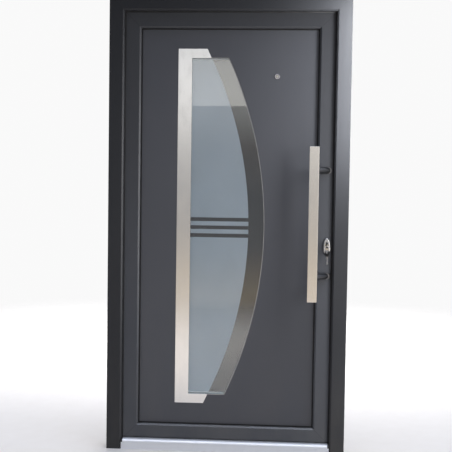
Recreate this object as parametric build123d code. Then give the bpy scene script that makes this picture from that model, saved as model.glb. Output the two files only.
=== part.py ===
from build123d import *
import os
import math

# Entrance door set: plastic frame and leaf with steel cores, flush panel with a
# curved glass, stainless C trim, flat pull bar, oval lock plate with two keys,
# low aluminium threshold.  Millimetres, +Z up, +X right seen from outside,
# +Y into the house.  Origin: middle of the sill underside, mid frame depth.

# ---------------------------------------------------------------- dimensions
W = 1100.0          # frame width
H = 2090.0          # frame height
DEPTH = 76.0        # frame and leaf profile depth
YF = -38.0          # frame outside face
YB = 38.0           # frame inside face
LIP_T = 20.0        # frame lip thickness
FW = 68.0           # frame face width
REB = 25.5          # rebate height
YL = -14.0          # leaf outside face
YLB = 62.0          # leaf inside face
LIP_Y = 42.0        # outside face of the leaf's overlap lip
XL = 515.5          # leaf lip edge, half width
ZL0, ZL1 = 7.5, 2055.5   # leaf lip bottom and top
LU = 107.5          # leaf section width, lip edge to glazing lip edge
WALL = 2.8          # outer walls of the plastic profiles
XG = XL - LU        # glazing lip edge half width, 408
ZG0, ZG1 = ZL0 + LU, ZL1 - LU   # 115, 1948
PAN_Y0, PAN_T = 6.0, 36.0       # panel face and thickness
SKIN = 3.0
PAN_OV = 14.0       # panel edge behind the glazing lip
GL_X0, GL_X1, GL_XM = -176.0, -6.5, 166.5   # glass opening: left, right end, belly
GL_Z0, GL_Z1 = 258.0, 1814.0
TRIM_T = 1.5
TR = [(-237.5, 214.5), (-103.5, 214.5), (-84.0, 258.0), (-173.5, 258.0),
      (-173.5, 1814.0), (-84.0, 1814.0), (-103.5, 1857.0), (-237.5, 1857.0)]
LOCK_X = 455.5      # cylinder and spindle axis (40 mm backset)
LOCK_Y = 29.0       # lock centre plane
CYL_Z = 967.0
SPIN_Z = 1059.0     # 92 mm above the cylinder
OV_Z = 959.0        # centre of the oval plates
OV_A, OV_B, OV_T = 16.25, 40.5, 9.0
BAR_X, BAR_W, BAR_T = 388.0, 44.0, 10.0
BAR_Y = -90.0       # front face of the pull bar
BAR_Z0, BAR_Z1 = 712.0, 1412.0
POST_Z = (825.0, 1307.0)
POST_R = 14.5
POST_X = 456.0      # where the stand-off meets the leaf
VIEW_X, VIEW_Z = 216.5, 1733.0
HINGE_X, HINGE_Y = -519.5, 75.0
HINGE_Z = (245.0, 1045.0, 1845.0)
STOP_Z = 50.0       # top of the threshold's outer stop
SEAL_Z = 39.5       # lower edge of the seal ring behind the stop
LIP_X = W / 2 - FW  # frame lip edge, half width
ANCHOR_Z = (250.0, 800.0, 1350.0, 1900.0)

os.makedirs("parts", exist_ok=True)


# ------------------------------------------------------------------- helpers
def wire(pts):
    return Wire.make_polygon([Vector(*p) for p in pts], close=True)


def prism(pts, vec, holes=()):
    f = Face(wire(pts), [wire(h) for h in holes]) if holes else Face(wire(pts))
    return Solid.extrude(f, Vector(*vec))


def box(x0, x1, y0, y1, z0, z1):
    return prism([(x0, y0, z0), (x1, y0, z0), (x1, y1, z0), (x0, y1, z0)], (0, 0, z1 - z0))


def cyl(axis, c, r, a, b):
    """cylinder of radius r along axis from a to b; c = the other two coordinates"""
    if axis == "x":
        pl = Plane(origin=(a, c[0], c[1]), z_dir=(1, 0, 0))
    elif axis == "y":
        pl = Plane(origin=(c[0], a, c[1]), z_dir=(0, 1, 0))
    else:
        pl = Plane(origin=(c[0], c[1], a), z_dir=(0, 0, 1))
    return Solid.make_cylinder(r, b - a, pl)


def cone(axis, c, r1, r2, a, b):
    if axis == "x":
        pl = Plane(origin=(a, c[0], c[1]), z_dir=(1, 0, 0) if b > a else (-1, 0, 0))
    elif axis == "y":
        pl = Plane(origin=(c[0], a, c[1]), z_dir=(0, 1, 0) if b > a else (0, -1, 0))
    else:
        pl = Plane(origin=(c[0], c[1], a), z_dir=(0, 0, 1) if b > a else (0, 0, -1))
    return Solid.make_cone(r1, r2, abs(b - a), pl)


def one(s):
    """the single solid of a boolean result"""
    v = s.solids()
    return v[0] if len(v) == 1 else s


def group(items):
    out = []
    for s in items:
        out += list(s.solids())
    return Compound(children=out)


def rect(u0, u1, y0, y1):
    return [(u0, y0), (u1, y0), (u1, y1), (u0, y1)]


def leg(side, sec, holes, xo, z0, z1, w, t0=None, t1=None, mitre=(True, True)):
    """one leg of a mitred ring.  sec is (u, y), u from the outer edge inward;
    the ring's outer edges are x = +-xo, z = z0 and z = z1; w covers the section"""
    e = 5.0
    if side in ("left", "right"):
        s = -1 if side == "left" else 1
        a = (z0 if t0 is None else t0)
        b = (z1 if t1 is None else t1)
        m = lambda p: (s * (xo - p[0]), p[1], a)
        body = prism([m(p) for p in sec], (0, 0, b - a), [[m(p) for p in h] for h in holes])
        lo = [(s * (xo + e), -200, z0 - e), (s * (xo - w), -200, z0 + w)] if mitre[0] else \
             [(s * (xo + e), -200, a - e), (s * (xo - w), -200, a - e)]
        hi = [(s * (xo - w), -200, z1 - w), (s * (xo + e), -200, z1 + e)] if mitre[1] else \
             [(s * (xo - w), -200, b + e), (s * (xo + e), -200, b + e)]
        cut = prism(lo + hi, (0, 400, 0))
    else:
        s = -1 if side == "bottom" else 1
        zo = z0 if side == "bottom" else z1
        m = lambda p: (-xo, p[1], zo - s * p[0])
        body = prism([m(p) for p in sec], (2 * xo, 0, 0), [[m(p) for p in h] for h in holes])
        cut = prism([(-xo - e, -200, zo + s * e), (-xo + w, -200, zo - s * w),
                     (xo - w, -200, zo - s * w), (xo + e, -200, zo + s * e)], (0, 400, 0))
    return one(body & cut)


def ring(sec, holes, xo, z0, z1, w):
    a = leg("left", sec, holes, xo, z0, z1, w)
    for sd in ("bottom", "right", "top"):
        a = a + leg(sd, sec, holes, xo, z0, z1, w)
    return one(a)


def glass_wire(off, y):
    """closed outline of the glass opening grown by off, in the plane y"""
    zm = (GL_Z0 + GL_Z1) / 2
    h = (GL_Z1 - GL_Z0) / 2
    sg = GL_XM - GL_X1
    R = (h * h + sg * sg) / (2 * sg)
    cx = GL_XM - R
    Ro, ho = R + off, h + off
    xe = cx + math.sqrt(Ro * Ro - ho * ho)
    x0 = GL_X0 - off
    p = [Vector(x0, y, zm - ho), Vector(xe, y, zm - ho), Vector(cx + Ro, y, zm),
         Vector(xe, y, zm + ho), Vector(x0, y, zm + ho)]
    return Wire([Edge.make_line(p[0], p[1]), Edge.make_three_point_arc(p[1], p[2], p[3]),
                 Edge.make_line(p[3], p[4]), Edge.make_line(p[4], p[0])])


def glass_plate(off, y0, y1, inner=None):
    f = Face(glass_wire(off, y0), [glass_wire(inner, y0)] if inner is not None else None)
    return Solid.extrude(f, Vector(0, y1 - y0, 0))


def oval(cx, cz, a, b, y0, y1):
    """upright oval plate, half width a, half height b (b > a)"""
    pl = Plane(origin=(cx, y0, cz), x_dir=(0, 0, 1), z_dir=(0, 1 if y1 > y0 else -1, 0))
    return Solid.extrude(Face(Wire([Edge.make_ellipse(b, a, pl)])), Vector(0, y1 - y0, 0))


def euro(y0, y1, g=0.0):
    """profile-cylinder shape about the lock axis, grown by g"""
    s = cyl("y", (LOCK_X, CYL_Z), 8.5 + g, y0, y1)
    s = s + box(LOCK_X - 5 - g, LOCK_X + 5 + g, y0, y1, CYL_Z - 19.5, CYL_Z)
    s = s + cyl("y", (LOCK_X, CYL_Z - 19.5), 5 + g, y0, y1)
    return one(s)


def screw(axis, c, head, d, ln=24.0):
    """countersunk screw; head = coordinate of the head's face, d = +1/-1 direction of driving"""
    r, rh, k = 2.3, 4.4, 2.2
    h = cone(axis, c, rh, r, head, head + d * k)
    a, b = sorted((head + d * k, head + d * ln))
    s = h + cyl(axis, c, r, a, b)
    # cross recess
    q = sorted((head - d * 0.01, head + d * 1.4))
    if axis == "y":
        s = s - box(c[0] - 2.2, c[0] + 2.2, q[0], q[1], c[1] - 0.5, c[1] + 0.5)
        s = s - box(c[0] - 0.5, c[0] + 0.5, q[0], q[1], c[1] - 2.2, c[1] + 2.2)
    elif axis == "x":
        s = s - box(q[0], q[1], c[0] - 2.2, c[0] + 2.2, c[1] - 0.5, c[1] + 0.5)
        s = s - box(q[0], q[1], c[0] - 0.5, c[0] + 0.5, c[1] - 2.2, c[1] + 2.2)
    return one(s)


def screw_hole(axis, c, head, d, ln=24.5):
    r, rh, k = 2.45, 4.6, 2.3
    h = cone(axis, c, rh, r, head - d * 0.001, head + d * k)
    a, b = sorted((head + d * (k - 0.01), head + d * ln))
    return one(h + cyl(axis, c, r, a, b))


PARTS = {}


def keep(name, shape):
    PARTS[name] = shape


# ------------------------------------------------------------- fixed frame
fr_sec = [(0, YF), (FW - 7, YF), (FW, YF + 5), (FW, YF + LIP_T), (FW - 3, YF + LIP_T),
          (FW - 3, YF + LIP_T - 4), (FW - 6, YF + LIP_T - 4), (FW - 6, YF + LIP_T),
          (FW - REB, YF + LIP_T), (FW - REB, YB), (0, YB)]
fr_holes = [rect(WALL, 20, -35.2, -23.2), rect(21.5, 41, -35.2, -23.2),
            [(42.5, -35.2), (FW - 8.1, -35.2), (FW - 2.8, -31.4), (FW - 2.8, -24), (42.5, -24)],
            rect(WALL, 10, -21.7, 21.5), rect(11.5, 39.7, -21.7, 21.5),
            rect(WALL, 20, 23, 35.2), rect(21.5, 39.7, 23, 35.2)]
jl = leg("left", fr_sec, fr_holes, W / 2, 0, H, FW, t0=0, t1=H, mitre=(False, True))
jr = leg("right", fr_sec, fr_holes, W / 2, 0, H, FW, t0=0, t1=H, mitre=(False, True))
hd = leg("top", fr_sec, fr_holes, W / 2, 0, H, FW)
frame = one(jl + hd + jr)
# the seal groove turns the corner above the threshold's stop
for s in (-1, 1):
    a, b = sorted((s * (LIP_X - 0.5), s * (LIP_X + 3.5)))
    frame = frame - box(a, b, YF + LIP_T - 4, YF + LIP_T + 1, SEAL_Z + 1.6, SEAL_Z + 5.4)
# anchor screw holes through both jambs, with a wider access hole in the rebate
for z in ANCHOR_Z:
    for s in (-1, 1):
        a, b = sorted((s * 551, s * 509))
        frame = frame - cyl("x", (0, z), 4.0, a, b)
        a, b = sorted((s * 512.5, s * 506))
        frame = frame - cyl("x", (0, z), 5.5, a, b)
# bolt pockets behind the strike plates on the lock side
BOLT_Z = {"latch": (1072.0, 1102.0), "dead": (1002.0, 1034.0), "low": (388.0, 412.0), "up": (1688.0, 1712.0)}
for k, (a, b) in BOLT_Z.items():
    frame = frame - box(506, 519, 22.6, 35.4, a - 2, b + 2)

# galvanised steel channels inside the frame
st = [(12.0, -21.2), (39.2, -21.2), (39.2, 21.0), (12.0, 21.0), (12.0, 19.4), (37.6, 19.4), (37.6, -19.6), (12.0, -19.6)]
sl = prism([(-W / 2 + u, y, 60) for u, y in st], (0, 0, 1960))
sr = prism([(W / 2 - u, y, 60) for u, y in st], (0, 0, 1960))
sh = prism([(-470, y, H - u) for u, y in st], (940, 0, 0))
for z in ANCHOR_Z:
    sl = sl - cyl("x", (0, z), 4.2, -552, -506)
    sr = sr - cyl("x", (0, z), 4.2, 506, 552)

# strike plates
KX = 500.0
strike = box(KX, 507.4, 19.0, 37.6, 985, 1125)
strike = strike - box(KX - 1, 508, 22.9, 35.1, 1000, 1036) - box(KX - 1, 508, 22.9, 35.1, 1070, 1104)
strike = one(strike.chamfer(1.2, None, [e for e in strike.edges().filter_by(Axis.Z) if e.center().X < KX + 0.1 and (e.center().Y < 19.5 or e.center().Y > 37)]))
side_strikes = []
for k in ("low", "up"):
    a, b = BOLT_Z[k]
    m = box(KX, 507.4, 19.0, 37.6, a - 28, b + 28)
    m = m - box(KX - 1, 508, 22.9, 35.1, a - 2, b + 2)
    m = m.chamfer(1.2, None, [e for e in m.edges().filter_by(Axis.Z) if e.center().X < KX + 0.1 and (e.center().Y < 19.5 or e.center().Y > 37)])
    side_strikes.append(m)

# hinges: plate and lower knuckle on the frame, plate and upper knuckle on the leaf
hinge_frame, hinge_leaf, hinge_pins = [], [], []
fscrew, lscrew = [], []
fholes, lholes = [], []
for z in HINGE_Z:
    a = box(-547, HINGE_X + 1.5, YB, YB + 5, z - 45, z + 45)
    a = a + box(-534, HINGE_X + 1.5, YB, HINGE_Y, z - 45, z - 1)
    a = a + cyl("z", (HINGE_X, HINGE_Y), 10.5, z - 45, z - 1)
    a = a - cyl("z", (HINGE_X, HINGE_Y), 6.0, z - 46, z)
    b = box(HINGE_X + 11, -468, YLB, YLB + 5, z - 44, z + 45)
    b = b + box(HINGE_X, -494, HINGE_Y - 10.5, HINGE_Y - 2.5, z + 1, z + 45)
    b = b + cyl("z", (HINGE_X, HINGE_Y), 10.5, z + 1, z + 45)
    b = b - cyl("z", (HINGE_X, HINGE_Y), 6.05, z, z + 46)
    for dz in (-30, 30):
        c = (-541, z + dz)
        a = a - screw_hole("y", c, YB + 5, -1)
        fholes.append(screw_hole("y", c, YB + 5, -1))
        fscrew.append(screw("y", c, YB + 5, -1))
        c = (-480, z + dz)
        b = b - screw_hole("y", c, YLB + 5, -1)
        lholes.append(screw_hole("y", c, YLB + 5, -1))
        lscrew.append(screw("y", c, YLB + 5, -1))
    hinge_frame.append(one(a))
    hinge_leaf.append(one(b))
    p = cyl("z", (HINGE_X, HINGE_Y), 6.0, z - 45, z + 45.5)
    p = p + cyl("z", (HINGE_X, HINGE_Y), 10.5, z + 45.5, z + 49)
    p = p + cyl("z", (HINGE_X, HINGE_Y), 10.5, z - 48.5, z - 45)
    hinge_pins.append(one(p.chamfer(1.2, None, [e for e in p.edges().filter_by(GeomType.CIRCLE)
                                               if abs(e.center().Z - (z + 49)) < .1 or abs(e.center().Z - (z - 48.5)) < .1])))

# strike plate screws
for zc in (992.5, 1053.0, 1115.0, 372.0, 428.0, 1672.0, 1728.0):
    c = (29.0, zc)
    fscrew.append(screw("x", c, KX, 1))
    fholes.append(screw_hole("x", c, KX, 1))
    if 980 < zc < 1130:
        strike = one(strike - screw_hole("x", c, KX, 1))
    else:
        i = 0 if zc < 600 else 1
        side_strikes[i] = one(side_strikes[i] - screw_hole("x", c, KX, 1))
for h in fholes:
    frame = frame - h
frame = one(frame)
keep("door_frame", frame)
keep("frame_steels", group([sl, sr, sh]))
keep("strike_main", strike)
keep("strike_bolts", group(side_strikes))
keep("hinge_frame_parts", group(hinge_frame))
keep("hinge_pins", group(hinge_pins))
keep("frame_screws", group(fscrew))

# plastic caps over the anchor holes
caps = []
for z in ANCHOR_Z:
    for s in (-1, 1):
        a, b = sorted((s * 507.5, s * 506.1))
        c1 = cyl("x", (0, z), 7.0, a, b)
        a, b = sorted((s * 510.2, s * 507.5))
        c1 = c1 + cyl("x", (0, z), 5.4, a, b)
        caps.append(one(c1))
keep("frame_hole_caps", group(caps))

# outside seal ring: lips of the frame and the stop of the threshold
gs = [(0, -17.9), (1.6, -17.9), (1.6, -21.6), (4.4, -21.6), (4.4, -17.9), (13.5, -17.9), (13.5, -15.4), (11.6, -14.2), (1.2, -14.2), (0, -15.4)]
GO = 7.5             # the ring reaches this far behind the lip edges
keep("frame_gasket", ring(gs, [rect(2.2, 11.4, -16.9, -15.2)], LIP_X + GO, SEAL_Z, H - FW + GO, 14))

# -------------------------------------------------------------- threshold
XE = LIP_X - 7.5
NOSE = [(-22, STOP_Z), (-27, 49.6), (-31.6, 48.5), (-35.6, 46.7), (-39.0, 44.3), (-41.6, 41.5), (-43.3, 38.6), (-44, 36.2),
        (-43.8, 34.6), (-42.8, 33.5), (-41, 33.2)]
GRV = [(-18, SEAL_Z + 1.6), (-22, SEAL_Z + 1.6), (-22, SEAL_Z + 5.4), (-18, SEAL_Z + 5.4)]
t_out = [(-18, 21)] + GRV + [(-18, STOP_Z)] + NOSE + [(-41, 0.6), (-39, 0.6), (-39, 21)]
t_hole = [(-20, 23), (-20, SEAL_Z - 0.2), (-24, SEAL_Z - 0.2), (-24, 47.6), (-27.3, 47.4), (-31.0, 46.5), (-34.6, 44.9), (-37.6, 42.8),
          (-39.9, 40.3), (-41.2, 38.0), (-41.6, 36.2), (-41.2, 35.3), (-38.9, 35.2), (-38.9, 23)]
th = prism([(-XE, y, z) for y, z in t_out], (2 * XE, 0, 0), [[(-XE, y, z) for y, z in t_hole]])
for s in (-1, 1):                    # the apron runs on to the jamb lips
    a, b = sorted((s * XE, s * (LIP_X - 0.3)))
    th = th + box(a, b, -41, -39, 0.6, 32.8)
keep("threshold_outer", one(th))
t_core = [(-38.8, 0), (35.8, 0), (35.8, 14.9), (2, 14.9), (2, 20.8), (-38.8, 20.8)]
t_ch = [rect(-36.3, -14, 2.5, 18.3), rect(-12, -0.5, 2.5, 18.3), rect(1.5, 17.5, 2.5, 12.4), rect(19.5, 33.3, 2.5, 12.4)]
keep("threshold_core", prism([(-XE, y, z) for y, z in t_core], (2 * XE, 0, 0), [[(-XE, y, z) for y, z in h] for h in t_ch]))
t_in = [(2.1, 15), (36, 15), (36, 2), (38, 2), (38, 19), (33, 19), (33, 18.2), (30, 18.2), (30, 19), (27, 19), (27, 18.2), (24, 18.2),
        (24, 19), (21, 19), (21, 18.2), (18, 18.2), (18, 19), (15, 19), (15, 18.2), (12, 18.2), (12, 19), (2.1, 19)]
keep("threshold_inner", prism([(-XE, y, z) for y, z in t_in], (2 * XE, 0, 0)))
for s, nm in ((-1, "connector_left"), (1, "connector_right")):
    c_sec = [(-18.1, 0)] + [(min(y, -18.1), z) for y, z in GRV] + [(-18.1, STOP_Z)] + NOSE + [(-38.8, 33.0), (-38.8, 0)]
    a = s * (XE + 0.1)
    c = prism([(a, y, z) for y, z in c_sec], (s * 7.2, 0, 0))
    x0, x1 = sorted((a, s * 507.3))
    c = c + box(x0, x1, -17.8, 37.9, 0, 18.9)
    x0, x1 = sorted((a, a + s * 7.2))
    c = c + box(x0, x1, -20, -17, 0, 18.9)
    # plug that enters the hollow stop
    x0, x1 = sorted((s * (XE - 22), a))
    c = c + box(x0, x1, -37.5, -24.5, 25, 41.5)
    c = c + box(x0, x1, -35.8, -14.5, 3.2, 17.8)
    keep(nm, one(c))

# ------------------------------------------------------------------ leaf
lf_sec = [(20, YL), (LU - 7, YL), (LU, YL + 5), (LU, 3), (104.5, 3), (104.5, -0.6), (101.5, -0.6), (101.5, 3), (87.5, 3),
          (87.5, 50), (83.5, 50), (83.5, 53.5), (87.5, 53.5), (87.5, YLB), (3, YLB), (0, YLB - 3), (0, LIP_Y),
          (3.5, LIP_Y), (3.5, 45.6), (6.5, 45.6), (6.5, LIP_Y), (20, LIP_Y), (20, 37.4), (23.2, 37.4), (23.2, 20.6), (20, 20.6)]
lf_holes = [rect(22.8, 50, -11.2, -1.2), rect(51.5, 79, -11.2, -1.2),
            [(80.5, -11.2), (99.6, -11.2), (104.3, -7.6), (104.3, -3.0), (80.5, -3.0)],
            rect(26.2, 34, 0.3, 38.5), rect(35.5, 77.5, 0.3, 38.5), rect(79, 84.7, 0.3, 38.5),
            [(2.8, 48), (2.8, 57.8), (4.4, 59.2), (21, 59.2), (21, 48)],
            rect(22.8, 50, 40, 59.2), rect(51.5, 80.7, 40, 59.2)]
leaf = ring(lf_sec, lf_holes, XL, ZL0, ZL1, LU)
LC_X0, LC_Z0, LC_Z1 = 437.0, 915.0, 1148.0
leaf = leaf - box(LC_X0 - 0.6, 496, 20.9, 37.1, LC_Z0 - 0.6, LC_Z1 + 0.6)
AUX = {"lock_case_lower": (345.0, 455.0), "lock_case_upper": (1645.0, 1755.0)}
for nm, (a, b) in AUX.items():
    leaf = leaf - box(451.4, 496, 20.9, 37.1, a - 0.6, b + 0.6)
leaf = leaf - euro(-16, 64, 0.6)
leaf = leaf - cyl("y", (LOCK_X, SPIN_Z), 10.5, 30, 64)
for z in POST_Z:
    leaf = leaf - cyl("y", (POST_X, z), 4.2, -15, 14)
# leaf steels: square tubes in the main chamber
lst = rect(36.0, 77.0, 0.8, 38.0)
lsh = rect(38.0, 75.0, 2.8, 36.0)
s1 = prism([(-XL + u, y, 135) for u, y in lst], (0, 0, 1793), [[(-XL + u, y, 135) for u, y in lsh]])
s2 = prism([(XL - u, y, 135) for u, y in lst], (0, 0, 1793), [[(XL - u, y, 135) for u, y in lsh]])
s3 = prism([(-388, y, ZL0 + u) for u, y in lst], (776, 0, 0), [[(-388, y, ZL0 + u) for u, y in lsh]])
s4 = prism([(-388, y, ZL1 - u) for u, y in lst], (776, 0, 0), [[(-388, y, ZL1 - u) for u, y in lsh]])
s2 = s2 - box(LC_X0 - 0.8, 496, 20.7, 39, LC_Z0 - 0.8, LC_Z1 + 0.8)
for nm, (a, b) in AUX.items():
    s2 = s2 - box(451.2, 496, 20.7, 39, a - 0.8, b + 0.8)
s2 = s2 - euro(-16, 64, 0.8)
for z in POST_Z:
    s2 = s2 - cyl("y", (POST_X, z), 4.2, -15, 14)

# lock rail with its screws
FP_Z0, FP_Z1 = 195.0, 1905.0
rail = box(492.4, 495.5, 21.0, 37.0, FP_Z0, FP_Z1)
for k, (a, b) in BOLT_Z.items():
    rail = rail - box(492, 496, 22.7, 35.3, a - 0.3, b + 0.3)
rail = rail - box(492, 496, 25.4, 32.6, 1113.0, 1131.0)
for zc in (215.0, 330.0, 470.0, 700.0, 880.0, 1180.0, 1400.0, 1630.0, 1770.0, 1885.0):
    c = (29.0, zc)
    rail = rail - screw_hole("x", c, 495.5, -1)
    lscrew.append(screw("x", c, 495.5, -1))
    lholes.append(screw_hole("x", c, 495.5, -1))
for h in lholes:
    leaf = leaf - h
    if h.center().X > 400:
        s2 = s2 - h
    else:
        s1 = s1 - h
keep("leaf_frame", one(leaf))
keep("leaf_steels", group([s1, s2, s3, s4]))
keep("lock_faceplate", one(rail))
keep("leaf_screws", group(lscrew))
keep("hinge_leaf_parts", group(hinge_leaf))
lg = [(1.2, 41.9), (3.6, 41.9), (3.6, 45.2), (6.4, 45.2), (6.4, 41.9), (8.0, 41.9), (8.0, 39.6), (6.6, 38.25), (2.6, 38.25), (1.2, 39.6)]
keep("leaf_gasket", ring([(u - 1.2, y) for u, y in lg], [rect(1.2, 5.6, 39.3, 40.9)], XL - 1.2, ZL0 + 1.2, ZL1 - 1.2, 8))

# ------------------------------------------------- panel, glass and beads
PX = XG + PAN_OV
PZ0, PZ1 = ZG0 - PAN_OV, ZG1 + PAN_OV


def sheet(y0, y1, off):
    f = Face(wire([(-PX, y0, PZ0), (PX, y0, PZ0), (PX, y0, PZ1), (-PX, y0, PZ1)]), [glass_wire(off, y0)])
    s = Solid.extrude(f, Vector(0, y1 - y0, 0))
    return one(s - cyl("y", (VIEW_X, VIEW_Z), 7.3, y0 - 1, y1 + 1))


keep("panel_outer_skin", sheet(PAN_Y0, PAN_Y0 + SKIN, 2.0))
keep("panel_core", sheet(PAN_Y0 + SKIN, PAN_Y0 + PAN_T - SKIN, 17.0))
keep("panel_inner_skin", sheet(PAN_Y0 + PAN_T - SKIN, PAN_Y0 + PAN_T, 2.0))
keep("glass_outer", glass_plate(14.0, 10.0, 14.0))
keep("glass_inner", glass_plate(14.0, 34.0, 38.0))
# the spacer shows a thin strip of itself along the two straight ends
hollow = glass_plate(2.6, 13.0, 35.0) & box(-400, 400, 13, 35, GL_Z0 + 5.6, GL_Z1 - 3.0)
keep("glass_spacer", one(glass_plate(12.0, 14.0, 34.0) - hollow))
ed1 = glass_plate(2.0, PAN_Y0, 9.0, inner=0.0) + glass_plate(12.0, 9.0, 10.0, inner=0.0)
ed2 = glass_plate(2.0, 39.0, PAN_Y0 + PAN_T, inner=0.0) + glass_plate(12.0, 38.0, 39.0, inner=0.0)
keep("glass_edging", group([one(ed1), one(ed2)]))
tr = prism([(x, PAN_Y0 - TRIM_T, z) for x, z in TR], (0, TRIM_T, 0))
tr = one(tr.chamfer(0.5, None, [e for e in tr.edges() if abs(e.center().Y - (PAN_Y0 - TRIM_T)) < 0.01]))
keep("stainless_trim", tr)

gg = [(-1.5, 3.1), (7.1, 3.1), (7.1, -0.4), (9.9, -0.4), (9.9, 3.1), (14.0, 3.1), (14.0, 5.9), (-0.7, 5.9), (-1.5, 5.0)]
gg = [(14.0 - u, y) for u, y in gg]     # u measured from the outer edge of the ring
keep("glazing_gasket", ring([(u, y) for u, y in gg], [], XG + 10.0, ZG0 - 10.0, ZG1 + 10.0, 17))

bead = [(0.2, 45.0), (13.6, 45.0), (13.6, 42.1), (18.4, 42.1), (18.9, 45.0), (20.0, 46.0), (20.0, 54.0), (13.5, YLB), (0.2, YLB),
        (0.2, 53.1), (-3.4, 53.1), (-3.4, 50.4), (0.2, 50.4)]
bead_h = [rect(2.2, 16.5, 47.6, 53.6), [(2.2, 55.0), (15.6, 55.0), (12.4, 59.6), (2.2, 59.6)]]
for sd in ("left", "right", "top", "bottom"):
    keep("bead_" + sd, leg(sd, [(u + 87.5, y) for u, y in bead], [[(u + 87.5, y) for u, y in h] for h in bead_h], XL, ZL0, ZL1, LU))

blocks = []
for x in (-300.0, 300.0):
    for z0, z1 in ((ZG0 - 19.8, PZ0 - 0.1), (PZ1 + 0.1, ZG1 + 19.8)):
        blocks.append(box(x - 50, x + 50, 8, 40, z0, z1))
for s in (-1, 1):
    for z in (400.0, 1660.0):
        a, b = sorted((s * (PX + 0.1), s * (XG + 19.8)))
        blocks.append(box(a, b, 8, 40, z - 50, z + 50))
keep("setting_blocks", group(blocks))

# ------------------------------------------------------------- lock cases
case = box(LC_X0, 492.3, 21.5, 36.5, LC_Z0, LC_Z1) - box(LC_X0 + 1.6, 490.7, 23.0, 35.0, LC_Z0 + 1.6, LC_Z1 - 1.6)
case = case - euro(20, 38, 0.4) - cyl("y", (LOCK_X, SPIN_Z), 8.0, 20, 38)
for k in ("latch", "dead"):
    a, b = BOLT_Z[k]
    case = case - box(490, 493, 22.8, 35.2, a - 0.3, b + 0.3)
case = case - box(490, 493, 25.4, 32.6, 1113.0, 1131.0)
# bushings carry the spindle through both sheets
case = case + (cyl("y", (LOCK_X, SPIN_Z), 9.5, 21.5, 23.0) - cyl("y", (LOCK_X, SPIN_Z), 6.1, 21, 24))
case = case + (cyl("y", (LOCK_X, SPIN_Z), 9.5, 35.0, 36.5) - cyl("y", (LOCK_X, SPIN_Z), 6.1, 34, 37))
keep("lock_case", one(case))
for nm, (a, b) in AUX.items():
    c = box(452.0, 492.3, 21.5, 36.5, a, b) - box(453.6, 490.7, 23.0, 35.0, a + 1.6, b - 1.6)
    k = "low" if nm.endswith("lower") else "up"
    c = c - box(490, 493, 22.8, 35.2, BOLT_Z[k][0] - 0.3, BOLT_Z[k][1] + 0.3)
    keep(nm, one(c))
# the rail's screws end inside the leaf; none of them reaches a case

# bolts, drawn in at rest
a, b = BOLT_Z["dead"]
keep("deadbolt", box(455.0, 495.4, 23.1, 34.9, a, b))
sb = []
for k in ("low", "up"):
    a, b = BOLT_Z[k]
    sb.append(box(457.0, 495.4, 23.1, 34.9, a, b))
keep("side_bolts", group(sb))
a, b = BOLT_Z["latch"]
# the latch nose is bevelled on the side that meets the frame when the leaf closes
lt = prism([(462, 23.1, a), (488.5, 23.1, a), (495.4, 31.5, a), (495.4, 34.9, a), (462, 34.9, a)], (0, 0, b - a))
keep("latch_bolt", lt)
# slide that holds the latch drawn in
sn = box(488.0, 493.5, 25.6, 32.4, 1120.0, 1130.8)
sn = sn + box(493.5, 496.6, 26.4, 31.6, 1122.6, 1128.2)
keep("latch_hold_slide", one(sn))

# --------------------------------------------------------------- cylinder
CY0, CY1 = -25.5, 73.5
body = euro(CY0, CY1) - cyl("y", (LOCK_X, CYL_Z), 6.55, CY0 - 1, 24.0)
body = body - (cyl("y", (LOCK_X, CYL_Z), 8.6, 24.0, 34.0) + box(LOCK_X - 5.1, LOCK_X + 5.1, 24.0, 34.0, CYL_Z - 14.6, CYL_Z))
# keyway of the inner side
body = body - box(LOCK_X - 1.3, LOCK_X + 1.3, CY1 - 10, CY1 + 1, CYL_Z - 4.3, CYL_Z + 4.6)
ringcut = cyl("y", (LOCK_X, CYL_Z), 6.8, CY1 - 0.6, CY1 + 1) - cyl("y", (LOCK_X, CYL_Z), 6.4, CY1 - 1, CY1 + 2)
body = body - ringcut
keep("cylinder_body", one(body))
plug = cyl("y", (LOCK_X, CYL_Z), 6.5, CY0 + 0.2, 33.0)
plug = plug + box(LOCK_X - 4.0, LOCK_X + 4.0, 24.3, 33.0, CYL_Z, CYL_Z + 13.0)
KW, KH0, KH1 = 1.35, -4.4, 4.4
plug = plug - box(LOCK_X - KW, LOCK_X + KW, CY0 - 1, 12.0, CYL_Z + KH0, CYL_Z + KH1)
keep("cylinder_plug", one(plug))


def key_shape(cy, cz, up=False):
    """flat key in the plane x = LOCK_X, blade along +Y from its shoulder at y = cy"""
    t = 1.2
    x0 = LOCK_X - t
    blade = [(cy, cz - 4.1), (cy + 33.0, cz - 4.1), (cy + 36.0, cz - 1.0), (cy + 36.0, cz + 0.5), (cy + 32.5, cz + 2.4)]
    teeth = [(29.5, 1.0), (27.5, 2.2), (25.8, 0.9), (24.0, 2.9), (21.0, 0.6), (18.0, 2.4), (15.0, 1.0), (12.0, 3.2), (9.0, 1.4), (6.0, 3.4), (3.0, 4.1), (0.0, 4.1)]
    blade += [(cy + a, cz + b) for a, b in teeth]
    k = prism([(x0, y, z) for y, z in blade], (2 * t, 0, 0))
    k = k + box(x0, x0 + 2 * t, cy - 5.0, cy + 0.01, cz - 5.0, cz + 5.0)
    bow = cyl("x", (cy - 15.0, cz), 11.5, x0, x0 + 2 * t)
    k = k + bow
    k = k - cyl("x", (cy - 21.0, cz), 4.2, x0 - 1, x0 + 2 * t + 1)
    return one(k)


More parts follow.
